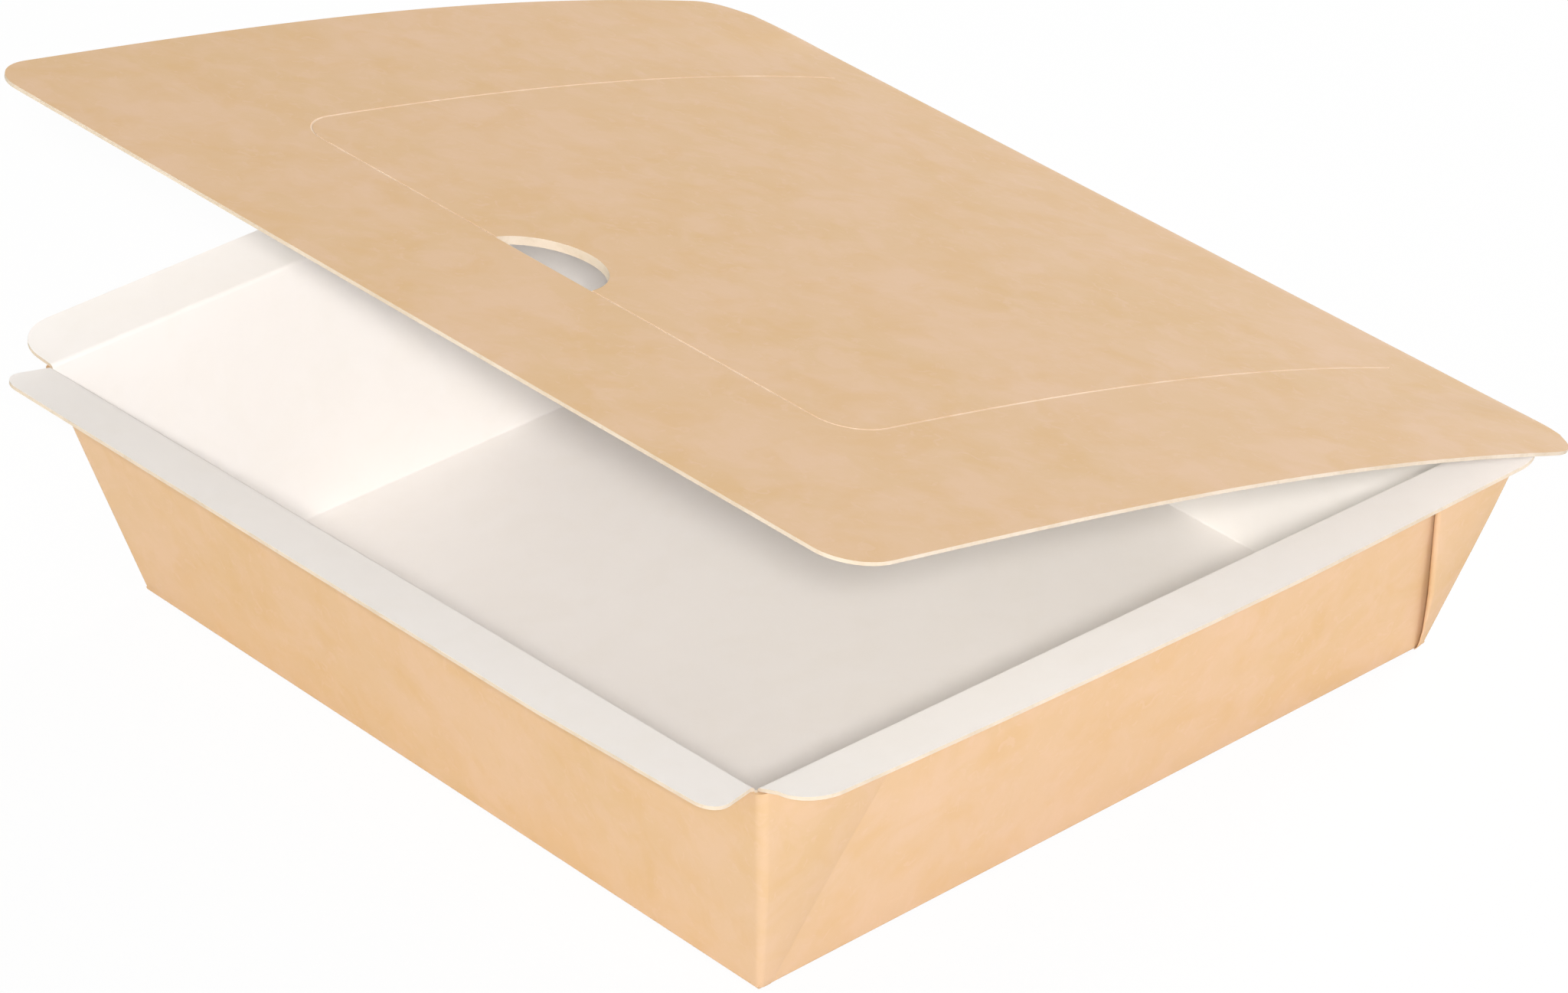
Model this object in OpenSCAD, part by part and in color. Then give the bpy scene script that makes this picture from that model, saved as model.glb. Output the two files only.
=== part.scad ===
// Folded paperboard takeaway box: a flared tray with webbed corners and a
// flat rim on three sides, and a bowed lid creased to the back wall.
// The front of the box is at -Y, the hinge at +Y, and the floor rests on Z = 0.

/* [Board] */
// Thickness of the paperboard
board = 0.6; // [0.4:0.05:0.9]
// Outside radius of the upright corner folds
fold_r = 1.6; // [1.2:0.1:2.5]
// Outside radius of the crease round the floor
floor_fold_r = 0.9; // [0.5:0.05:0.9]

/* [Tray] */
// Length of the floor along the hinge
floor_x = 144; // [110:1:200]
// Depth of the floor, front to back
floor_y = 141; // [110:1:200]
// Height of the rim crease
wall_h = 42; // [28:0.5:60]
// How far each wall leans out from floor to rim
flare = 9.5; // [5:0.5:14]

/* [Rim] */
// Width of the flat rim on the front and the two sides
flange_w = 10.5; // [7:0.5:14]
// How far the rim's outer edge stands above its crease
flange_rise = 0.8; // [0:0.1:1]
// Rounding of the rim's outer corners
flange_corner_r = 8; // [3:0.5:9]
// Distance by which the side rims end short of the hinge
flange_back_gap = 4; // [3:0.5:12]

/* [Corner ears] */
// Flat width of an ear at the floor, between its two folds
ear_foot = 0.2; // [0.1:0.1:3]
// Thickness of an ear at the floor, where it is pinched to a point
ear_foot_t = 0.6; // [0.4:0.1:1]
// Lean of the front ears' folded edge, in degrees
ear_front_lean = 24.5; // [15:0.5:30]
// Lean of the back ears' folded edge, in degrees
ear_back_lean = 12.5; // [5:0.5:25]

/* [Lid] */
// Length of the lid from its crease to its free edge, along the board
lid_l = 164.5; // [150:0.5:172]
// Width of the lid
lid_w = 196; // [186:1:204]
// Slope of the lid at its crease, in degrees
lid_root_angle = 23.1; // [18:0.5:30]
// Slope of the lid at its free edge, in degrees
lid_tip_angle = 11.7; // [6:0.5:16]
// Rounding of the two free corners
lid_corner_r = 8; // [4:0.5:14]
// How far the lid's crease runs past the rim corner at each end
lid_crease_extra = 2.5; // [0:0.5:4]
// Distance over which the hinge corners are cut away, along the side
lid_chamfer = 8; // [6:0.5:14]
// Rounding where that cut meets the side of the lid
lid_chamfer_r = 9; // [4:0.5:12]
// Clearance between the lid's folded root and the wall below it
hinge_gap = 0.1; // [0.05:0.05:0.3]

/* [Tear panel] */
// Distance from the free edge to the front tear line
tear_setback = 33; // [25:0.5:45]
// Distance from the middle of the lid to each side tear line
tear_half = 63; // [45:0.5:75]
// Rounding of the tear line's two corners
tear_corner_r = 7.5; // [4:0.5:15]
// Distance from the crease to the back ends of the tear line
tear_end = 12; // [6:1:40]
// Width of the tear line, which is cut part way into the board
tear_w = 0.4; // [0.3:0.05:0.8]
// Board left under the tear line
tear_left = 0.3; // [0.2:0.05:0.35]

/* [Thumb notch] */
// Width of the half-moon notch on the front tear line
notch_w = 22; // [16:0.5:30]
// Place of the notch's middle along the tear line
notch_x = -4; // [-15:0.5:15]
// How far the notch's round side lies short of a full half circle
notch_flat = 1.3; // [0:0.1:3]

/* [Hidden] */

kraft = [0.86, 0.70, 0.54];

// Smallest inside radius of a fold
inner_r = 0.3;

// Steps round each quarter turn of an outline
arc_steps = 8;

// Half sizes of the outside at the floor and at the rim crease
foot_hx = floor_x / 2;
foot_hy = floor_y / 2;
rim_hx = foot_hx + flare;
rim_hy = foot_hy + flare;

// The walls end just inside the folded rim, which covers their edges
rim_cover = 0.15;
wall_top = wall_h - rim_cover;
wall_lean = atan(flare / wall_h);
wall_across = board / cos(wall_lean);
flange_tilt = atan(flange_rise / flange_w);

// An ear is the corner web folded flat: two layers of board, pinched at the floor
function ear_t(z) = ear_foot_t + (2 * board - ear_foot_t) * z / wall_h;

// Hinge axis: the middle of the board where the back wall turns into the lid
hinge_z = wall_top + hinge_gap + board / 2;
hinge_y = foot_hy + flare * hinge_z / wall_h - wall_across / 2;

// The lid's curve is stepped along the board, each step with its own slope
lid_steps = 40;
step = lid_l / lid_steps;
function slope(s) = lid_tip_angle + (lid_root_angle - lid_tip_angle) * pow(1 - s / lid_l, 2);

// Places of the steps along the middle of the board: [y, z]
function walk(n) = n == 0 ? [hinge_y, hinge_z]
    : let (s = (n - 0.5) * step) walk(n - 1) + step * [-cos(slope(s)), sin(slope(s))];
curve = [for (i = [0:lid_steps]) walk(i)];

// Depth at which a point s along the board lies; s below 0 is behind the hinge
function along(s) =
    let (i = max(min(floor(s / step), lid_steps - 1), 0), f = s / step - i)
    curve[i][0] * (1 - f) + curve[i + 1][0] * f;

// Place of the front tear line along the board
tear_s = lid_l - tear_setback;

// Points on an arc about c, from angle a to angle b
function arc(c, r, a, b, n = arc_steps) =
    [for (i = [0:n]) c + r * [cos(a + (b - a) * i / n), sin(a + (b - a) * i / n)]];

// Where an ear's folded edge starts to round at height z, measured along the
// side wall. Its foot lies close to the corner, and it leans to the middle.
function ear_edge(z, lean) = foot_hy - fold_r - ear_foot - tan(lean) * z;

// Outline of the tray's outside at height z, counterclockwise from the front
// left corner, drawn in by inset. The side walls step out at the ears.
function outline(z, inset) =
    let (hx = foot_hx + flare * z / wall_h - inset,
         hy = foot_hy + flare * z / wall_h - inset,
         r = fold_r - inset,
         t = ear_t(z),
         ex = hx + t,
         front = -ear_edge(z, ear_front_lean),
         back = ear_edge(z, ear_back_lean))
    concat(
        arc([-ex + r, -hy + r], r, 180, 270),
        arc([ex - r, -hy + r], r, 270, 360),
        arc([hx, front], t, 0, 90, 3),
        arc([hx, back], t, -90, 0, 3),
        arc([ex - r, hy - r], r, 0, 90),
        arc([-ex + r, hy - r], r, 90, 180),
        arc([-hx, back], t, 180, 270, 3),
        arc([-hx, front], t, 90, 180, 3)
    );

// Solid between outlines that have the same number of points, bottom first.
// Each outline starts with its front left corner arc and is the same on both
// sides of the Y axis, so its ends are closed by strips from side to side.
module loft(sections, heights) {
    n = len(sections[0]);
    m = len(sections);
    right = arc_steps + 1;
    function across(j) = (2 * right - 1 - j + n) % n;
    strips = [for (j = [right:right + n / 2 - 2])
        each [[j, j + 1, across(j + 1)], [j, across(j + 1), across(j)]]];
    points = [for (i = [0:m - 1]) for (p = sections[i]) [p[0], p[1], heights[i]]];
    sides = [for (i = [0:m - 2]) for (j = [0:n - 1])
        let (a = i * n + j, b = i * n + (j + 1) % n)
        each [[a, a + n, b + n], [a, b + n, b]]];
    top = [for (f = strips) [for (k = [2:-1:0]) (m - 1) * n + f[k]]];
    polyhedron(points, concat(sides, strips, top), convexity = 6);
}

// Outside of the tray with its ears, up to the top of the walls
module tray_outside() {
    r = floor_fold_r;
    angles = [0, 30, 60];
    heights = concat([for (a = angles) r - r * cos(a)], [r, wall_top]);
    insets = concat([for (a = angles) r - r * sin(a)], [0, 0]);
    loft([for (i = [0:len(heights) - 1]) outline(heights[i], insets[i])], heights);
}

// Inside of the tray, open at the top
module tray_inside() {
    function box(z) =
        let (hx = foot_hx + flare * z / wall_h - wall_across,
             hy = foot_hy + flare * z / wall_h - wall_across,
             r = max(fold_r - wall_across, inner_r))
        concat(
            arc([-hx + r, -hy + r], r, 180, 270),
            arc([hx - r, -hy + r], r, 270, 360),
            arc([hx - r, hy - r], r, 0, 90),
            arc([-hx + r, hy - r], r, 90, 180)
        );
    open_z = wall_h + flange_w;
    loft([box(board), box(open_z)], [board, open_z]);
}

// Flat rim whose crease runs along the X axis from x0 to x1 and whose width
// runs along -Y, with rounded outer corners. Its inner edge is trimmed later.
module flange(x0, x1) {
    r = min(flange_corner_r, flange_w - 1);
    w = flange_w;
    rotate([-flange_tilt, 0, 0])
        translate([0, 0, -board])
        linear_extrude(board)
        polygon(concat(
            [[x1, 2 * board], [x0, 2 * board]],
            arc([x0 + r, -w + r], r, 180, 270),
            arc([x1 - r, -w + r], r, 270, 360)
        ));
}

module tray() {
    side_end = rim_hy - flange_back_gap;
    color(kraft)
    difference() {
        union() {
            tray_outside();
            translate([0, -rim_hy, wall_h]) flange(-rim_hx, rim_hx);
            translate([rim_hx, 0, wall_h]) rotate(90) flange(-rim_hy, side_end);
            translate([-rim_hx, 0, wall_h]) rotate(-90) flange(-side_end, rim_hy);
        }
        tray_inside();
    }
}

// Line along the bowed lid at a height off the middle of the board, root first
function bow(off) =
    [for (i = [0:lid_steps]) curve[i] + off * [sin(slope(i * step)), cos(slope(i * step))]];

// Line from the tip back to the root
function bow_back(off) = let (p = bow(off)) [for (i = [lid_steps:-1:0]) p[i]];

// Profile of depth and height, drawn out over the lid's full width
module full_width(profile) {
    rotate([90, 0, 90])
        translate([0, 0, -lid_w / 2])
        linear_extrude(lid_w)
        polygon(profile);
}

// Rounded root of the board about the hinge axis, from the underside to the top
function root() =
    let (a = slope(0) + 90, turn = 180 / arc_steps)
    arc(curve[0], board / 2, turn - a, 180 - turn - a, arc_steps - 2);

// Outline of the lid in flat board: x across, s away from the crease
function lid_outline() =
    let (hw = lid_w / 2,
         hc = rim_hx + lid_crease_extra,
         r = lid_corner_r,
         bend = lid_chamfer_r / 2)
    concat(
        [[-hc, -board], [hc, -board], [hc, 0]],
        soften([hc, 0], [hw, lid_chamfer], [hw, lid_l], bend),
        arc([hw - r, lid_l - r], r, 0, 90),
        arc([-hw + r, lid_l - r], r, 90, 180),
        soften([-hw, lid_l], [-hw, lid_chamfer], [-hc, 0], bend),
        [[-hc, 0]]
    );

// Rounds the corner at b, on the way from a to c, starting d before it
function soften(a, b, c, d, n = 6) =
    let (p = b + d * (a - b) / norm(a - b), q = b + d * (c - b) / norm(c - b))
    [for (i = [0:n]) let (t = i / n) (1 - t) * (1 - t) * p + 2 * t * (1 - t) * b + t * t * q];

// Turns an outline on the flat board into a block reaching through the lid
module cutter(points) {
    translate([0, 0, wall_h - board])
        linear_extrude(lid_l)
        polygon([for (p = points) [p[0], along(p[1])]]);
}

// Half-moon thumb notch: its straight side lies on the front tear line
function notch_outline() =
    let (r = notch_w / 2, c = [notch_x, tear_s + notch_flat], a = asin(notch_flat / r))
    arc(c, r, 180 + a, 360 - a, 16);

// The tear line: from one back end round the front corners to the other
function tear_outline() =
    let (h = tear_w / 2,
         r = tear_corner_r,
         right = [tear_half - r, tear_s - r],
         left = [r - tear_half, tear_s - r])
    concat(
        [[tear_half + h, tear_end]],
        arc(right, r + h, 0, 90),
        arc(left, r + h, 90, 180),
        [[-tear_half - h, tear_end], [-tear_half + h, tear_end]],
        arc(left, r - h, 180, 90),
        arc(right, r - h, 90, 0),
        [[tear_half - h, tear_end]]
    );

module lid() {
    color(kraft)
    difference() {
        intersection() {
            full_width(concat(bow(board / 2), bow_back(-board / 2), root()));
            cutter(lid_outline());
        }
        cutter(notch_outline());
        intersection() {
            full_width(concat(bow(board), bow_back(tear_left - board / 2)));
            cutter(tear_outline());
        }
    }
}

tray();
lid();
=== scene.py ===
# Takeaway box of folded kraft board, white inside: the dressed model, its stage and its camera.
import math

import bpy
from mathutils import Matrix, Vector


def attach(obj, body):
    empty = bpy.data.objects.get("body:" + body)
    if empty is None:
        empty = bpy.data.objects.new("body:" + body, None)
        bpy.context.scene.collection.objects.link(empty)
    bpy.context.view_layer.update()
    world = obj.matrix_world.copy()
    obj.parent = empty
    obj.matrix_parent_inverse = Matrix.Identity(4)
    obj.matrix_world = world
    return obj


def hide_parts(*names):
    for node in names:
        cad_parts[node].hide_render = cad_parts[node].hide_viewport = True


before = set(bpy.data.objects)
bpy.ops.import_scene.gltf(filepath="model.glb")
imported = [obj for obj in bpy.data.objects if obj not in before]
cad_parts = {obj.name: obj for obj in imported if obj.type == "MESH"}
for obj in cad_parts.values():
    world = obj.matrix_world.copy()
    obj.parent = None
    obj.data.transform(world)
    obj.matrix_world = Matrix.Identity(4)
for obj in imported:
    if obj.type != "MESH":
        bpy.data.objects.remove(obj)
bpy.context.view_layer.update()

MM = 0.001

# Sizes in millimetres, as in the part's own source: the front is at -Y, the hinge at +Y, FOOT is half the floor
BOARD = 0.6
FOOT_X, FOOT_Y = 72.0, 70.5
FLARE, WALL_H = 9.5, 42.0
RIM_X, RIM_Y = FOOT_X + FLARE, FOOT_Y + FLARE
WALL_TOP = 41.85
WALL_LEAN = math.atan(FLARE / WALL_H)

# Folds: at the floor, at the rim, and upright between the walls
FLOOR_FOLD_R, RIM_FOLD_R, CORNER_FOLD_R = 0.9, 0.6, 0.48
FOLD_STEPS, CORNER_FOLD_STEPS, WALL_STEPS = 6, 3, 8

# Rim strips: width, rise toward the outer edge, corner radii, slant of the front one's ends, where the sides end
FLANGE_W, FLANGE_RISE = 10.5, 0.8
FLANGE_FRONT_R, FLANGE_SIDE_R, FLANGE_CORNER_STEPS = 4.5, 7.5, 12
FLANGE_END_SLANT = 1.5
FLANGE_END_Y = RIM_Y - 5.0

# Corner ears: two layers of board at the top, pressed thin at the foot, each with its leaning free edge
EAR_T, EAR_FOOT_T, EAR_FOOT = 2 * BOARD, 0.2, 2.0
EAR_FOLD_R, EAR_FOLD_FOOT_SHARE = 1.6, 0.6
EAR_BACK_TAPER = 4.0
EAR_TOP, EAR_GROWN_Z, EAR_PROUD = 41.25, 24.0, 0.01
EAR_LEVELS = (0.3, 0.5, 0.9, 2, 5, 9, 14, 20, 26, 32, 37, EAR_TOP)
EAR_INNER_R = 0.8
# Front and back ear: the free edge's lean, its gap to the wall low and high, the height where it is full
EAR_FRONT = math.radians(24.5), 0.05, 0.05, 36.0
EAR_BACK = math.radians(13), 1.0, 0.3, 12.0
EAR_GAP_FROM, EAR_GAP_TO = 12, 36
EAR_GAP_FOOT, EAR_GAP_OPEN_Z = 0.15, 4

# Lid: length from the crease, half its width, its angles at the crease and at the free edge, its corners
LID_L, LID_HX = 164.5, 98.0
LID_ROOT, LID_TIP = math.radians(23.1), math.radians(11.7)
LID_R = 8.0
LID_CREASE_X, LID_CHAMFER, LID_CHAMFER_BEND = 85.0, 8.0, 4.5
LID_CREASE_SOFT = 0.24
HINGE_Y, HINGE_Z = 79.749, 42.25
BOW_STEPS, BOW_LINE_GAP = 400, 2
# How the lid's hinge corners curl up: height, where across the lid it starts, how far along it lasts
LID_CURL, LID_CURL_FROM, LID_CURL_REACH = 1.0, 73.0, 20.0
LID_CURL_ROOT, LID_CURL_LINES = 4, 5

# Tear line and thumb notch, measured on the flat lid
TEAR_S, TEAR_X, TEAR_R, TEAR_END = 131.5, 63.0, 7.5, 12.0
TEAR_W, TEAR_DEPTH = 0.4, 0.1
NOTCH_X, NOTCH_R, NOTCH_FLAT = -4.0, 11.0, 1.3
LIP_T, LIP_DROP = 0.35, 0.8
CUTTER_REACH = 2

# How far the folded tray's corners stand off a true box: (right, back, rim) -> (x, y)
CORNER_SHIFTS = {
    (1, 0, 1): (-0.9, 0.2),
    (0, 0, 1): (0.5, -1.8),
    (1, 1, 1): (1.5, 0.0),
    (1, 0, 0): (1.4, -1.4),
    (0, 0, 0): (-0.3, 0.7),
}
# How much narrower the rim's strips come out, and between which places along them
FRONT_NARROWER = 0.35
FRONT_NEAR_NARROWER, FRONT_NEAR_SPAN = 1.2, (45, 80)
NEAR_NARROWER, NEAR_SPAN = 1.9, (-20, RIM_Y)
FAR_NARROWER, FAR_SPAN = 1.6, (20, RIM_Y)
NEAR_SHORTER, NEAR_SHORTER_SPAN, NEAR_SHORTER_RISE = 1.2, (70, RIM_Y), 3
SETTLE_X = (-65, -45, 45, 60, 70)
SETTLE_Y = (-60, -40, -20, 0, 20, 40, 60)

# Within this distance two places count as one when edges are selected
SAME = 0.02


# Board finishes

def new_group(name, inputs, outputs):
    """An empty node group with inputs {name: value}, a colour or a number, and outputs {name: socket type}."""
    group = bpy.data.node_groups.new(name, "ShaderNodeTree")
    for label, value in inputs.items():
        kind = "NodeSocketColor" if isinstance(value, tuple) else "NodeSocketFloat"
        socket = group.interface.new_socket(label, in_out="INPUT", socket_type=kind)
        socket.default_value = value
    for label, kind in outputs.items():
        group.interface.new_socket(label, in_out="OUTPUT", socket_type=kind)
    return group


def board_group():
    """Pulp of the board: soft clouds in two hues, pale flecks and short fibres, in object coordinates."""
    group = new_group(
        "pulp",
        {"Tone": (0.8, 0.6, 0.4, 1), "Light": (0.9, 0.7, 0.5, 1), "Dark": (0.6, 0.4, 0.2, 1),
         "Clouds": 0.5, "Fibres": 0.5, "Specks": 0.2},
        {"Color": "NodeSocketColor", "Height": "NodeSocketFloat", "Gloss": "NodeSocketFloat"},
    )
    nodes, link = group.nodes, group.links.new
    given, out = nodes.new("NodeGroupInput"), nodes.new("NodeGroupOutput")
    place = nodes.new("ShaderNodeTexCoord")

    def noise(scale, detail, rough, stretch=(1, 1, 1), warp=0):
        mapping = nodes.new("ShaderNodeMapping")
        mapping.inputs["Scale"].default_value = stretch
        link(place.outputs["Object"], mapping.inputs["Vector"])
        node = nodes.new("ShaderNodeTexNoise")
        node.inputs["Scale"].default_value = scale
        node.inputs["Detail"].default_value = detail
        node.inputs["Roughness"].default_value = rough
        node.inputs["Distortion"].default_value = warp
        link(mapping.outputs["Vector"], node.inputs["Vector"])
        return node.outputs["Fac"]

    def spread(value, low, high):
        node = nodes.new("ShaderNodeMapRange")
        node.inputs["From Min"].default_value = low
        node.inputs["From Max"].default_value = high
        link(value, node.inputs["Value"])
        return node.outputs["Result"]

    def times(a, b):
        node = nodes.new("ShaderNodeMath")
        node.operation = "MULTIPLY"
        link(a, node.inputs[0])
        link(b, node.inputs[1])
        return node.outputs["Value"]

    def mix(amount, a, b):
        node = nodes.new("ShaderNodeMix")
        node.data_type = "RGBA"
        link(amount, node.inputs["Factor"])
        link(a, node.inputs["A"])
        link(b, node.inputs["B"])
        return node.outputs["Result"]

    wide = spread(noise(scale=38, detail=2, rough=0.5), 0.36, 0.64)
    blots = spread(noise(scale=130, detail=3, rough=0.6, warp=0.6), 0.44, 0.62)
    shade = spread(noise(scale=95, detail=3, rough=0.6, stretch=(1.1, 0.9, 1), warp=0.5), 0.46, 0.66)
    flecks = spread(noise(scale=420, detail=2, rough=0.5, warp=1.2), 0.6, 0.7)
    fine = spread(noise(scale=900, detail=3, rough=0.7), 0.3, 0.7)
    fibres = spread(noise(scale=700, detail=3, rough=0.6, stretch=(0.45, 1, 0.7), warp=1.5), 0.5, 0.74)
    sheen = spread(noise(scale=180, detail=3, rough=0.6), 0.3, 0.7)
    color = mix(times(wide, given.outputs["Clouds"]), given.outputs["Tone"], given.outputs["Light"])
    color = mix(times(blots, given.outputs["Clouds"]), color, given.outputs["Light"])
    color = mix(times(shade, given.outputs["Clouds"]), color, given.outputs["Dark"])
    color = mix(times(flecks, given.outputs["Specks"]), color, given.outputs["Light"])
    color = mix(times(fibres, given.outputs["Fibres"]), color, given.outputs["Dark"])
    link(color, out.inputs["Color"])
    height = nodes.new("ShaderNodeMath")
    height.operation = "ADD"
    link(blots, height.inputs[0])
    link(fine, height.inputs[1])
    link(height.outputs["Value"], out.inputs["Height"])
    link(sheen, out.inputs["Gloss"])
    return group


PULP = board_group()
GLOSS_SPREAD, RELIEF = 0.06, 0.03 * MM


def board_material(name, tone, light, dark, clouds, fibres, specks, rough, bump, specular):
    """One finish of the board, from the shared pulp group with its own values."""
    material = bpy.data.materials.new(name)
    material.use_nodes = True
    nodes, link = material.node_tree.nodes, material.node_tree.links.new
    shader = nodes["Principled BSDF"]
    pulp = nodes.new("ShaderNodeGroup")
    pulp.node_tree = PULP
    for label, value in (("Tone", tone), ("Light", light), ("Dark", dark)):
        pulp.inputs[label].default_value = (*value, 1)
    for label, value in (("Clouds", clouds), ("Fibres", fibres), ("Specks", specks)):
        pulp.inputs[label].default_value = value
    link(pulp.outputs["Color"], shader.inputs["Base Color"])
    gloss = nodes.new("ShaderNodeMapRange")
    gloss.inputs["To Min"].default_value = rough - GLOSS_SPREAD
    gloss.inputs["To Max"].default_value = rough + GLOSS_SPREAD
    link(pulp.outputs["Gloss"], gloss.inputs["Value"])
    link(gloss.outputs["Result"], shader.inputs["Roughness"])
    relief = nodes.new("ShaderNodeBump")
    relief.inputs["Strength"].default_value = bump
    relief.inputs["Distance"].default_value = RELIEF
    link(pulp.outputs["Height"], relief.inputs["Height"])
    link(relief.outputs["Normal"], shader.inputs["Normal"])
    shader.inputs["Specular IOR Level"].default_value = specular
    return material


FINISHES = [
    board_material(
        "kraft",
        tone=(0.665, 0.45, 0.258), light=(0.705, 0.485, 0.327), dark=(0.655, 0.424, 0.216),
        clouds=0.55, fibres=0.1, specks=0.5, rough=0.62, bump=0.12, specular=0.15),
    board_material(
        "white_coating",
        tone=(0.92, 0.878, 0.85), light=(0.93, 0.893, 0.87), dark=(0.895, 0.848, 0.8),
        clouds=0.3, fibres=0.05, specks=0.05, rough=0.5, bump=0.06, specular=0.25),
    board_material(
        "cut_edge",
        tone=(0.67, 0.555, 0.44), light=(0.72, 0.62, 0.51), dark=(0.58, 0.46, 0.33),
        clouds=0.5, fibres=0.5, specks=0.2, rough=0.8, bump=0.5, specular=0.1),
    board_material(
        "tear_line",
        tone=(0.78, 0.59, 0.425), light=(0.86, 0.715, 0.58), dark=(0.69, 0.48, 0.3),
        clouds=0.6, fibres=0.3, specks=0.1, rough=0.8, bump=0.3, specular=0.2),
]
OUTSIDE, INSIDE, EDGE, TEAR = range(4)


# Modelling by hand

def deselect():
    if bpy.context.object and bpy.context.object.mode != "OBJECT":
        bpy.ops.object.mode_set(mode="OBJECT")
    bpy.ops.object.select_all(action="DESELECT")


def select_only(obj):
    deselect()
    obj.select_set(True)
    bpy.context.view_layer.objects.active = obj


def named(name, finish=OUTSIDE):
    """Names the primitive just added, fixes its place in its mesh and gives it the board's finishes."""
    obj = bpy.context.object
    obj.name = obj.data.name = name
    bpy.ops.object.transform_apply(location=True, rotation=True, scale=True)
    for material in FINISHES:
        obj.data.materials.append(material)
    give_finish(obj, finish)
    return obj


def apply_modifier(obj, kind, **settings):
    select_only(obj)
    modifier = obj.modifiers.new(kind.lower(), kind)
    for key, value in settings.items():
        setattr(modifier, key, value)
    bpy.ops.object.modifier_apply(modifier=modifier.name)


def select_where(obj, kind, test):
    """Goes into edit mode with the vertices or edges selected whose points, in millimetres, pass the test."""
    bpy.ops.object.mode_set(mode="EDIT")
    bpy.ops.mesh.select_mode(type=kind)
    bpy.ops.mesh.select_all(action="DESELECT")
    bpy.ops.object.mode_set(mode="OBJECT")
    spots = obj.data.vertices
    for item in spots if kind == "VERT" else obj.data.edges:
        points = [item.co] if kind == "VERT" else [spots[i].co for i in item.vertices]
        item.select = bool(test([p / MM for p in points]))
    bpy.ops.object.mode_set(mode="EDIT")


def draw_up(height):
    """Extrudes the selected faces upward by height in millimetres."""
    bpy.ops.mesh.extrude_region_move(TRANSFORM_OT_translate={"value": (0, 0, MM * height)})


def draw_edges(shift):
    """Extrudes the selected edges by shift in millimetres."""
    bpy.ops.mesh.extrude_edges_move(TRANSFORM_OT_translate={"value": [MM * v for v in shift]})


def add_lines(axis, places):
    """In edit mode, adds a line round the mesh at each place along the axis, in millimetres."""
    across = [float(axis == i) for i in range(3)]
    for place in places:
        bpy.ops.mesh.select_all(action="SELECT")
        bpy.ops.mesh.bisect(plane_co=[MM * place * v for v in across], plane_no=across)


def face_outward():
    """In edit mode, turns all the faces outward and goes back to object mode."""
    bpy.ops.mesh.select_all(action="SELECT")
    bpy.ops.mesh.normals_make_consistent(inside=False)
    bpy.ops.object.mode_set(mode="OBJECT")


def give_finish(obj, finish):
    for face in obj.data.polygons:
        face.material_index = finish


def sheet(name, outline, z=0, finish=OUTSIDE):
    """Flat face with the given outline in millimetres, facing up."""
    deselect()
    bpy.ops.mesh.primitive_circle_add(vertices=len(outline), fill_type="NGON")
    obj = named(name, finish)
    for vertex, (x, y) in zip(obj.data.vertices, outline):
        vertex.co = (MM * x, MM * y, MM * z)
    bpy.ops.object.mode_set(mode="EDIT")
    face_outward()
    return obj


def prism(name, outline, low, high, finish):
    """Upright block with the given outline, between two heights, all in millimetres."""
    obj = sheet(name, outline, low, finish)
    bpy.ops.object.mode_set(mode="EDIT")
    bpy.ops.mesh.select_all(action="SELECT")
    draw_up(high - low)
    face_outward()
    give_finish(obj, finish)
    return obj


def combine(obj, other, operation):
    """Cuts the other closed piece out of this one (DIFFERENCE) or fuses it into this one (UNION)."""
    apply_modifier(obj, "BOOLEAN", object=other, operation=operation, solver="EXACT", material_mode="INDEX")
    bpy.data.objects.remove(other)


def arc(center, radius, start, end, steps=8):
    """Points on an arc, with its angles in degrees."""
    turns = [math.radians(start + (end - start) * i / steps) for i in range(steps + 1)]
    return [(center[0] + radius * math.cos(t), center[1] + radius * math.sin(t)) for t in turns]


def finish_piece(obj, body, smooth_below):
    """Smooths the piece's bends under an angle in degrees, and says which body it belongs to."""
    select_only(obj)
    bpy.ops.object.shade_smooth_by_angle(angle=math.radians(smooth_below))
    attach(obj, body)
    deselect()


# The tray: one sheet, folded up from the floor and out at the rim

def fold(corner, before, after, radius):
    """Points of a fold between two directions, where their lines meet at corner."""
    a, b = Vector(before).normalized(), Vector(after).normalized()
    turn = a.angle(b)
    reach = radius * math.tan(turn / 2)
    start = Vector(corner) - a * reach
    side = (b - a * a.dot(b)).normalized()
    center = start + side * radius
    points = []
    for i in range(FOLD_STEPS + 1):
        t = turn * i / FOLD_STEPS
        points.append(center + radius * (a * math.sin(t) - side * math.cos(t)))
    return points


def meeting(p, a, q, b):
    """Where the line through p along a meets the line through q along b."""
    a, b, gap = Vector(a), Vector(b), Vector(q) - Vector(p)
    t = (gap.x * b.y - gap.y * b.x) / (a.x * b.y - a.y * b.x)
    return Vector(p) + a * t


def tray_profile():
    """Middle of the board at the foot's fold, at the rim's fold and at the rim's outer edge.

    Each point is its distance past the floor's half size, and its height.
    """
    half = BOARD / 2
    up = Vector((math.sin(WALL_LEAN), math.cos(WALL_LEAN)))
    inward = Vector((-up.y, up.x))
    tilt = math.atan(FLANGE_RISE / FLANGE_W)
    out = Vector((math.cos(tilt), math.sin(tilt)))
    wall_point = inward * half
    rim_point = Vector((FLARE, WALL_H)) - Vector((-out.y, out.x)) * half
    foot = meeting((0, half), (1, 0), wall_point, up)
    rim = meeting(wall_point, up, rim_point, out)
    foot_fold = fold(foot, (1, 0), up, FLOOR_FOLD_R - half)
    rim_fold = fold(rim, up, out, RIM_FOLD_R)
    return foot_fold, rim_fold, rim_point + out * FLANGE_W


def share_of(value, start, end):
    """How far value has come from start to end, from 0 to 1."""
    return min(max((value - start) / (end - start), 0), 1)


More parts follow.
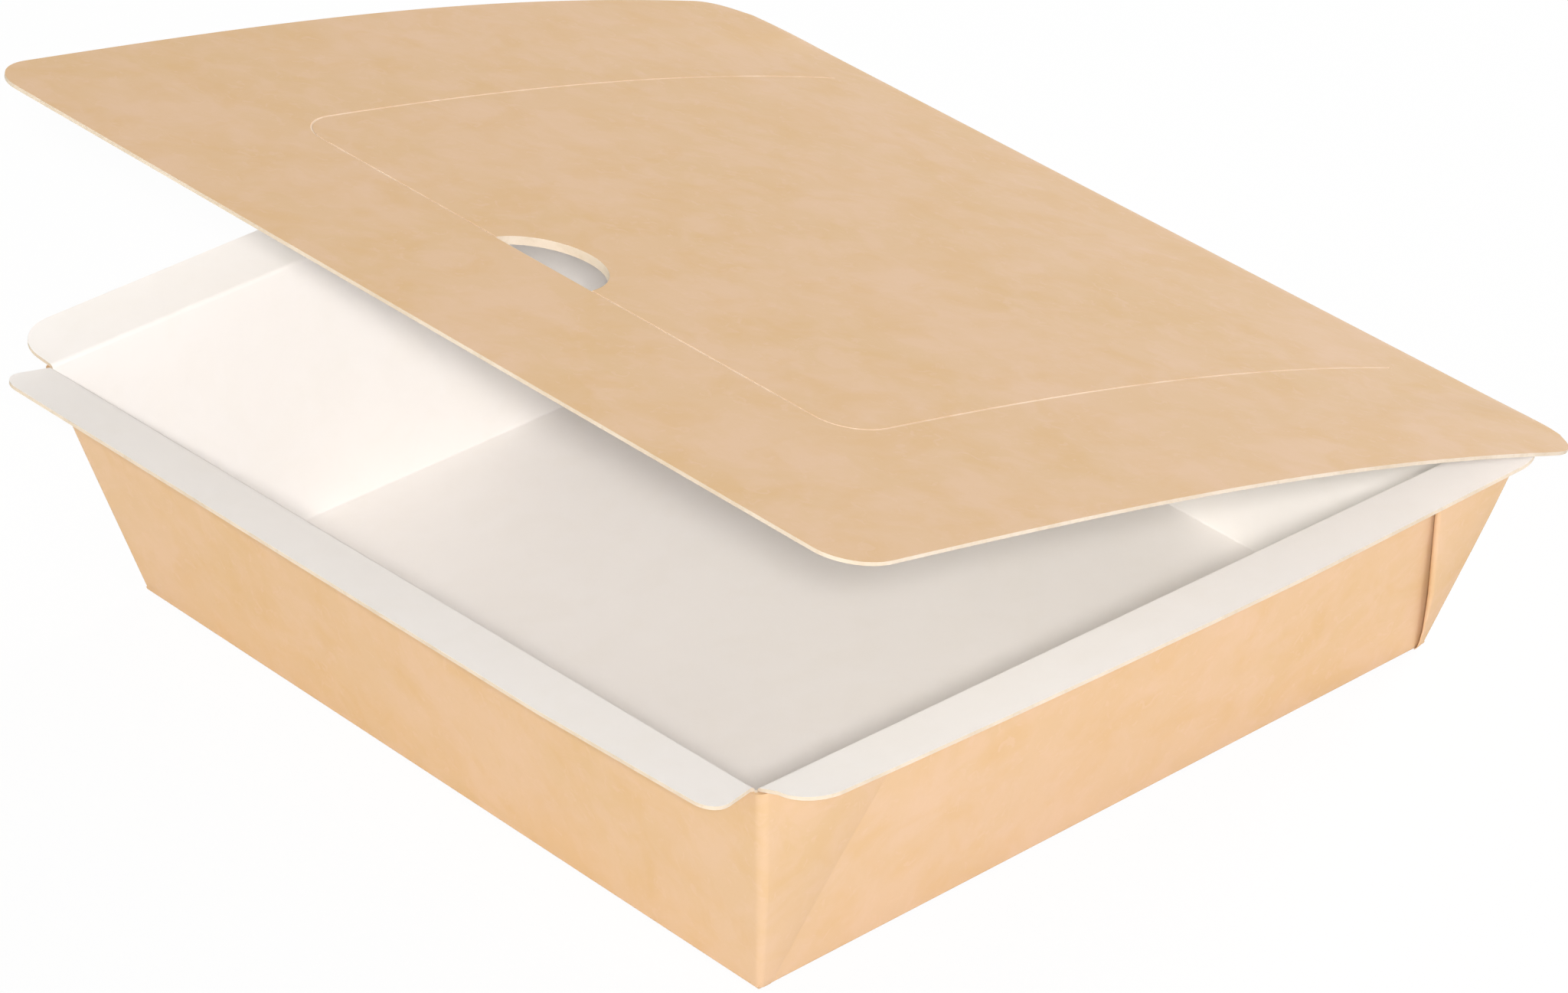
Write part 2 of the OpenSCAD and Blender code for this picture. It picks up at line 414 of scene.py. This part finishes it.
def settled(point):
    """Place of a point of the true box once its corners and walls have settled as folded board does."""
    x, y, z = (c / MM for c in point)
    up = share_of(z, 0, WALL_H)
    right = share_of(x, -FOOT_X - FLARE * up, FOOT_X + FLARE * up)
    back = share_of(y, -FOOT_Y - FLARE * up, FOOT_Y + FLARE * up)
    shift = Vector((0, 0))
    for (is_right, is_back, is_rim), corner_shift in CORNER_SHIFTS.items():
        share = (right if is_right else 1 - right) * (back if is_back else 1 - back)
        shift += share * (up if is_rim else 1 - up) * Vector(corner_shift)
    front_out, side_out = share_of(-y, RIM_Y, RIM_Y + FLANGE_W), share_of(x, RIM_X, RIM_X + FLANGE_W)
    shift *= 1 - front_out
    shift.y += front_out * (FRONT_NARROWER + FRONT_NEAR_NARROWER * share_of(x, *FRONT_NEAR_SPAN))
    past_wall = share_of(x, RIM_X, RIM_X + NEAR_SHORTER_RISE)
    shift.y += NEAR_SHORTER * past_wall * share_of(-y, *NEAR_SHORTER_SPAN)
    narrower = NEAR_NARROWER * share_of(-y, *NEAR_SPAN) ** 2 + FAR_NARROWER * share_of(y, *FAR_SPAN)
    shift.x -= side_out * narrower
    return Vector((point.x + MM * shift.x, point.y + MM * shift.y, point.z))


def make_floor(start):
    """The floor up to the start of the foot's fold, in edit mode with its edges selected."""
    deselect()
    bpy.ops.mesh.primitive_plane_add(size=2)
    tray = bpy.context.object
    tray.scale = (MM * (FOOT_X + start.x), MM * (FOOT_Y + start.x), 1)
    tray.location = (0, 0, MM * start.y)
    named("tray_sheet")
    bpy.ops.object.mode_set(mode="EDIT")
    bpy.ops.mesh.flip_normals()
    bpy.ops.mesh.select_mode(type="EDGE")
    bpy.ops.mesh.select_all(action="SELECT")
    return tray


def raise_walls(profile):
    """Draws the four walls out of the floor's edges along the profile."""
    for last, point in zip(profile, profile[1:]):
        grow_x = (FOOT_X + point.x) / (FOOT_X + last.x)
        grow_y = (FOOT_Y + point.x) / (FOOT_Y + last.x)
        draw_edges((0, 0, point.y - last.y))
        bpy.ops.transform.resize(value=(grow_x, grow_y, 1), center_override=(0, 0, 0))


def round_upright_folds(tray, floor_z):
    def upright(points):
        on_corner = all(abs(abs(p.x) - abs(p.y) - (FOOT_X - FOOT_Y)) < 2 * SAME for p in points)
        rises = abs(points[0].z - points[1].z) > BOARD / 6
        return on_corner and rises and all(p.z > floor_z - SAME for p in points)

    select_where(tray, "EDGE", upright)
    bpy.ops.mesh.bevel(offset=MM * CORNER_FOLD_R, segments=CORNER_FOLD_STEPS, affect="EDGES")


def fold_out_strip(tray, axis, sign, profile):
    """Folds one rim strip straight out over its own wall: axis 0 for a side, 1 for the front at sign -1."""
    reach = (FOOT_Y if axis else FOOT_X) + profile[0].x

    def wall_edge(points):
        on_wall = all(abs(p[axis] * sign - reach) < SAME for p in points)
        on_top = all(abs(p.z - profile[0].y) < SAME for p in points)
        return on_wall and on_top and all(p.y < FLANGE_END_Y + SAME for p in points)

    select_where(tray, "EDGE", wall_edge)
    for last, point in zip(profile, profile[1:]):
        shift = [0, 0, point.y - last.y]
        shift[axis] = sign * (point.x - last.x)
        draw_edges(shift)


def raise_back_edge(tray, start):
    """Draws the back wall's edge from the height of the rim's fold up to the lid's crease."""
    def back_edge(points):
        return all(abs(p.y - FOOT_Y - start.x) < SAME and abs(p.z - start.y) < SAME for p in points)

    select_where(tray, "EDGE", back_edge)
    rise = WALL_TOP - start.y
    draw_edges((0, rise * math.tan(WALL_LEAN), rise))


def round_rim_corners(tray, wall_x, wall_y, edge_z):
    """Slants the front strip's ends, and rounds the outer corners of all three strips."""
    def front_corner(points):
        p = points[0]
        return p.z > edge_z - SAME and abs(abs(p.x) - wall_x) < BOARD and p.y < -RIM_Y - 2

    def side_corner(points):
        p = points[0]
        at_end = abs(p.y - FLANGE_END_Y) < 2 * SAME or abs(p.y + wall_y) < BOARD
        return p.z > edge_z - SAME and abs(p.x) > RIM_X + 2 and at_end

    select_where(tray, "VERT", front_corner)
    bpy.ops.transform.resize(value=(1 + FLANGE_END_SLANT / RIM_X, 1, 1), center_override=(0, 0, 0))
    bpy.ops.mesh.bevel(offset=MM * FLANGE_FRONT_R, segments=FLANGE_CORNER_STEPS, affect="VERTICES")
    select_where(tray, "VERT", side_corner)
    bpy.ops.mesh.bevel(offset=MM * FLANGE_SIDE_R, segments=FLANGE_CORNER_STEPS, affect="VERTICES")


def make_tray():
    foot_fold, rim_fold, rim_edge = tray_profile()
    tray = make_floor(foot_fold[0])
    wall = [rim_fold[0].lerp(foot_fold[-1], 1 - k / WALL_STEPS) for k in range(1, WALL_STEPS + 1)]
    raise_walls(foot_fold + wall)
    round_upright_folds(tray, foot_fold[-1].y)
    strip = rim_fold + [rim_edge]
    fold_out_strip(tray, 1, -1, strip)
    add_lines(1, [FLANGE_END_Y])
    for side in (1, -1):
        fold_out_strip(tray, 0, side, strip)
    raise_back_edge(tray, rim_fold[0])
    add_lines(0, SETTLE_X)
    add_lines(1, SETTLE_Y)
    round_rim_corners(tray, FOOT_X + rim_fold[0].x, FOOT_Y + rim_fold[0].x, rim_edge.y)
    bpy.ops.mesh.select_all(action="SELECT")
    bpy.ops.mesh.remove_doubles(threshold=1e-6)
    bpy.ops.object.mode_set(mode="OBJECT")
    give_finish(tray, OUTSIDE)
    apply_modifier(tray, "SOLIDIFY", thickness=MM * BOARD, offset=0, use_even_offset=True,
                   use_quality_normals=True, material_offset=INSIDE, material_offset_rim=EDGE)
    # The back wall has no cut edge: the kraft goes on over the crease
    for face in tray.data.polygons:
        is_back = face.center.y > MM * (FLANGE_END_Y + 1) and face.center.z > MM * (WALL_TOP - 1)
        if face.material_index == EDGE and is_back:
            face.material_index = OUTSIDE
    for side in (1, -1):
        make_ear(tray, side, -1, *EAR_FRONT)
        make_ear(tray, side, 1, *EAR_BACK)
    for vertex in tray.data.vertices:
        vertex.co = settled(vertex.co)
    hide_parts("tray")
    finish_piece(tray, "tray", smooth_below=32)


# Corner ears: the webs between the walls, folded flat on the side walls

def ear_section(z, lean, gap, edge_z):
    """Section of an ear at height z: distances off the side wall and behind the end wall, both outside."""
    bend = FLOOR_FOLD_R
    inset = bend - math.sqrt(bend ** 2 - (bend - z) ** 2) if z < bend else 0
    grown, edge_grown = share_of(z, 0, EAR_GROWN_Z), share_of(z, 0, edge_z) ** 2
    thick = EAR_FOOT_T + (EAR_T - EAR_FOOT_T) * grown
    reach = EAR_FOOT + (math.tan(lean) + FLARE / WALL_H) * z
    front = EAR_FOLD_R * (EAR_FOLD_FOOT_SHARE + (1 - EAR_FOLD_FOOT_SHARE) * grown)
    half = (EAR_FOOT_T + (EAR_T - EAR_FOOT_T) * edge_grown) / 2
    taper = min(EAR_BACK_TAPER, reach / 2)
    sunk = BOARD / 2
    points = [(-sunk, sunk), (-EAR_INNER_R - sunk, sunk), (-EAR_INNER_R - sunk, -EAR_PROUD)]
    points += arc((thick - front, front - EAR_PROUD), front, -90, 0)
    points += arc((gap + half, reach - half), half, 0, 180)
    points += [(gap / 2, reach - half - taper / 2), (-0.05, reach - half - taper)]
    points += [(-sunk, reach - half - taper)]
    return [(u - inset, v + inset) for u, v in points]


def make_ear(tray, side, end, lean, gap_low, gap_high, edge_z):
    """side is +1 for the right wall, end is -1 for the front corner and +1 for the back one."""
    def ring(z):
        gap = gap_low + (gap_high - gap_low) * share_of(z, EAR_GAP_FROM, EAR_GAP_TO)
        gap *= min(1, z / EAR_GAP_OPEN_Z + EAR_GAP_FOOT)
        out = FLARE * z / WALL_H
        section = ear_section(z, lean, gap, edge_z)
        return [(side * (FOOT_X + out + u), end * (FOOT_Y + out - v)) for u, v in section]

    ear = sheet("ear", ring(EAR_LEVELS[0]), EAR_LEVELS[0])
    bpy.ops.object.mode_set(mode="EDIT")
    bpy.ops.mesh.select_mode(type="FACE")
    bpy.ops.mesh.select_all(action="SELECT")
    for last, z in zip(EAR_LEVELS, EAR_LEVELS[1:]):
        draw_up(z - last)
        bpy.ops.object.mode_set(mode="OBJECT")
        below, above = ring(last), ring(z)
        for vertex in ear.data.vertices:
            if vertex.select:
                spot = [c / MM for c in vertex.co]
                nearest = min(range(len(below)), key=lambda i: math.dist(below[i], spot[:2]))
                vertex.co = (MM * above[nearest][0], MM * above[nearest][1], MM * z)
        bpy.ops.object.mode_set(mode="EDIT")
    face_outward()
    give_finish(ear, OUTSIDE)
    combine(tray, ear, "UNION")


# The lid: cut out flat, scored and notched, then bowed

def slope(s):
    """Angle of the bowed lid at the distance s from the crease."""
    return LID_TIP + (LID_ROOT - LID_TIP) * (1 - s / LID_L) ** 2


def bow_table():
    """Length of a short step along the bow, and the places (y, z) it goes through."""
    step = LID_L / BOW_STEPS
    places = [(HINGE_Y, HINGE_Z)]
    for i in range(BOW_STEPS):
        y, z = places[-1]
        a = slope((i + 0.5) * step)
        places.append((y - step * math.cos(a), z + step * math.sin(a)))
    return step, places


BOW_STEP, BOW = bow_table()


def bowed(point):
    """Place in space of a point on the flat lid: x across, y away from the crease, z off the board's middle."""
    s = min(max(point.y / MM, 0), LID_L)
    i = min(int(s / BOW_STEP), len(BOW) - 2)
    f = s / BOW_STEP - i
    y = BOW[i][0] * (1 - f) + BOW[i + 1][0] * f
    z = BOW[i][1] * (1 - f) + BOW[i + 1][1] * f
    past = point.y / MM - s
    a = slope(s)
    out = share_of(abs(point.x) / MM, LID_CURL_FROM, LID_CREASE_X)
    curl = LID_CURL * out ** 2 * (3 - 2 * out) * math.exp(-s / LID_CURL_REACH)
    off = point.z / MM + curl * share_of(s, 0, LID_CURL_ROOT)
    return Vector((point.x, MM * (y + off * math.sin(a) - past * math.cos(a)),
                   MM * (z + off * math.cos(a) + past * math.sin(a))))


def tear_outline():
    """The tear line's groove, round three sides of the panel."""
    half, r = TEAR_W / 2, TEAR_R
    right, left = (TEAR_X - r, TEAR_S - r), (r - TEAR_X, TEAR_S - r)
    outer = [(TEAR_X + half, TEAR_END)] + arc(right, r + half, 0, 90, 10)
    outer += arc(left, r + half, 90, 180, 10) + [(-TEAR_X - half, TEAR_END)]
    inner = [(-TEAR_X + half, TEAR_END)] + arc(left, r - half, 180, 90, 10)
    inner += arc(right, r - half, 90, 0, 10) + [(TEAR_X - half, TEAR_END)]
    return outer + inner


def rounded(before, corner, after, start, steps=8):
    """Points that round a corner, from start before it to start after it."""
    a, b, c = Vector(before), Vector(corner), Vector(after)
    p, q = b + (a - b).normalized() * start, b + (c - b).normalized() * start
    ways = [i / steps for i in range(steps + 1)]
    return [tuple((1 - t) ** 2 * p + 2 * t * (1 - t) * b + t ** 2 * q) for t in ways]


def lid_outline():
    """The flat lid, with its crease along y = 0."""
    crease, slant, far = (LID_CREASE_X, 0), (LID_HX, LID_CHAMFER), (LID_HX, LID_L)
    right = [crease] + rounded(crease, slant, far, LID_CHAMFER_BEND)
    right += arc((LID_HX - LID_R, LID_L - LID_R), LID_R, 0, 90, 14)
    return right + [(-x, y) for x, y in reversed(right)]


def make_lid():
    lid = sheet("lid_sheet", lid_outline())
    apply_modifier(lid, "SOLIDIFY", thickness=MM * BOARD, offset=0, material_offset=INSIDE,
                   material_offset_rim=EDGE)
    half = BOARD / 2
    flat = math.degrees(math.asin(NOTCH_FLAT / NOTCH_R))
    center, ends = (NOTCH_X, TEAR_S + NOTCH_FLAT), (180 + flat, 360 - flat)
    notch, lip_back = arc(center, NOTCH_R, *ends, 32), arc(center, NOTCH_R + LIP_T, *ends, 32)
    combine(lid, prism("notch_cutter", notch, -CUTTER_REACH, CUTTER_REACH, EDGE), "DIFFERENCE")
    combine(lid, prism("notch_lip", notch + lip_back[::-1], -half - LIP_DROP, -half + 0.1, EDGE), "UNION")
    combine(lid, prism("tear_cutter", tear_outline(), half - TEAR_DEPTH, CUTTER_REACH, TEAR), "DIFFERENCE")
    # Rounded fold at the crease, kraft like the outside

    def crease_edge(points):
        return all(p.y < SAME / 2 for p in points) and abs(points[0].x - points[1].x) > 1

    select_where(lid, "EDGE", crease_edge)
    bpy.ops.mesh.bevel(offset=MM * LID_CREASE_SOFT, segments=3, affect="EDGES")
    bpy.ops.object.mode_set(mode="OBJECT")
    for face in lid.data.polygons:
        if face.center.y < MM * half and face.normal.z > -0.9:
            face.material_index = OUTSIDE
    # Lines along which the board bows and its hinge corners curl
    select_only(lid)
    bpy.ops.object.mode_set(mode="EDIT")
    lines = int(LID_L / BOW_LINE_GAP)
    add_lines(1, [LID_L * i / lines for i in range(1, lines)])
    curl_gap = (LID_CREASE_X - LID_CURL_FROM) / LID_CURL_LINES
    for side in (1, -1):
        add_lines(0, [side * (LID_CURL_FROM + curl_gap * i) for i in range(LID_CURL_LINES + 1)])
    bpy.ops.object.mode_set(mode="OBJECT")
    for vertex in lid.data.vertices:
        vertex.co = bowed(vertex.co)
    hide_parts("lid")
    finish_piece(lid, "lid", smooth_below=25)


make_tray()
make_lid()


# Stage, light and camera, in metres

FLOOR_SIZE, FLOOR_DROP = 6, 0.0002
FLOOR_TONE, FLOOR_ROUGH, FLOOR_WHITE_SHARE = 0.88, 0.9, 0.94
AIM_Z = 0.04


def stage_floor():
    """Pale floor that the camera sees as nearly white, with the object's shadow."""
    deselect()
    bpy.ops.mesh.primitive_plane_add(size=FLOOR_SIZE, location=(0, 0, -FLOOR_DROP))
    floor = bpy.context.object
    floor.name = "stage_floor"
    material = bpy.data.materials.new("stage_white")
    material.use_nodes = True
    nodes, link = material.node_tree.nodes, material.node_tree.links.new
    shader = nodes["Principled BSDF"]
    shader.inputs["Base Color"].default_value = (FLOOR_TONE, FLOOR_TONE, FLOOR_TONE, 1)
    shader.inputs["Roughness"].default_value = FLOOR_ROUGH
    glow = nodes.new("ShaderNodeEmission")
    glow.inputs["Color"].default_value = (1, 1, 1, 1)
    glow.inputs["Strength"].default_value = 1
    path = nodes.new("ShaderNodeLightPath")
    share = nodes.new("ShaderNodeMath")
    share.operation = "MULTIPLY"
    share.inputs[1].default_value = FLOOR_WHITE_SHARE
    mix = nodes.new("ShaderNodeMixShader")
    link(path.outputs["Is Camera Ray"], share.inputs[0])
    link(share.outputs["Value"], mix.inputs["Fac"])
    link(shader.outputs["BSDF"], mix.inputs[1])
    link(glow.outputs["Emission"], mix.inputs[2])
    link(mix.outputs["Shader"], nodes["Material Output"].inputs["Surface"])
    floor.data.materials.append(material)


def toward(azimuth, elevation):
    """Direction out from the box, its angles in radians: azimuth 0 is the front, a quarter turn the right."""
    level = math.cos(elevation)
    return Vector((math.sin(azimuth) * level, -math.cos(azimuth) * level, math.sin(elevation)))


def soft_lamp(name, azimuth, elevation, distance, size, power, color):
    """A square soft box aimed at the middle of the box, with its angles in degrees."""
    back = toward(math.radians(azimuth), math.radians(elevation))
    data = bpy.data.lights.new(name, "AREA")
    data.size = size
    data.energy = power
    data.color = color
    lamp = bpy.data.objects.new(name, data)
    lamp.location = Vector((0, 0, AIM_Z)) + back * distance
    lamp.rotation_euler = back.to_track_quat("Z", "Y").to_euler()
    bpy.context.scene.collection.objects.link(lamp)


def sky(strength):
    """Even white light from all round, and a white background for the camera."""
    world = bpy.data.worlds.new("studio")
    bpy.context.scene.world = world
    world.use_nodes = True
    nodes, link = world.node_tree.nodes, world.node_tree.links.new
    background = nodes["Background"]
    background.inputs["Color"].default_value = (1, 1, 1, 1)
    path = nodes.new("ShaderNodeLightPath")
    seen = nodes.new("ShaderNodeMapRange")
    seen.inputs["To Min"].default_value = strength
    seen.inputs["To Max"].default_value = 1
    link(path.outputs["Is Camera Ray"], seen.inputs["Value"])
    link(seen.outputs["Result"], background.inputs["Strength"])


def photo_camera():
    """Camera at the photo's place: turned to the front right corner, high, with a long lens."""
    azimuth, elevation, roll = map(math.radians, (47.48, 31.11, 0.70))
    # In the photo's pixels: focal length, width, middle of the lens and where the object's origin lies
    focal, width, middle, origin = 10124.9, 2048, (944.5, 648.0), (1021.1, 808.1)
    distance, sensor = 1.2212, 36
    back = toward(azimuth, elevation)
    level = (-back).cross(Vector((0, 0, 1))).normalized()
    upright = level.cross(-back)
    right = level * math.cos(roll) + upright * math.sin(roll)
    up = upright * math.cos(roll) - level * math.sin(roll)
    aside = (origin[0] - middle[0]) * distance / focal
    below = (origin[1] - middle[1]) * distance / focal
    data = bpy.data.cameras.new("photo_camera")
    data.sensor_width = sensor
    data.lens = focal * sensor / width
    data.shift_x = (width / 2 - middle[0]) / width
    data.clip_start, data.clip_end = 0.05, 20
    camera = bpy.data.objects.new("photo_camera", data)
    camera.location = back * distance - right * aside + up * below
    camera.rotation_euler = Matrix((right, up, back)).transposed().to_euler()
    bpy.context.scene.collection.objects.link(camera)
    bpy.context.scene.camera = camera


stage_floor()
soft_lamp("key_box", 47.9, 31.2, distance=2.05, size=0.12, power=31.5, color=(1, 0.985, 0.95))
soft_lamp("right_box", 85, 13, distance=2.6, size=1.4, power=18, color=(0.78, 0.87, 1))
soft_lamp("left_box", -40, 15, distance=2.6, size=1.4, power=19, color=(0.95, 1, 0.88))
soft_lamp("back_box", 190, 18, distance=2.6, size=1.0, power=53, color=(1, 1, 1))
sky(0.345)
photo_camera()
bpy.context.scene.view_settings.view_transform = "Standard"
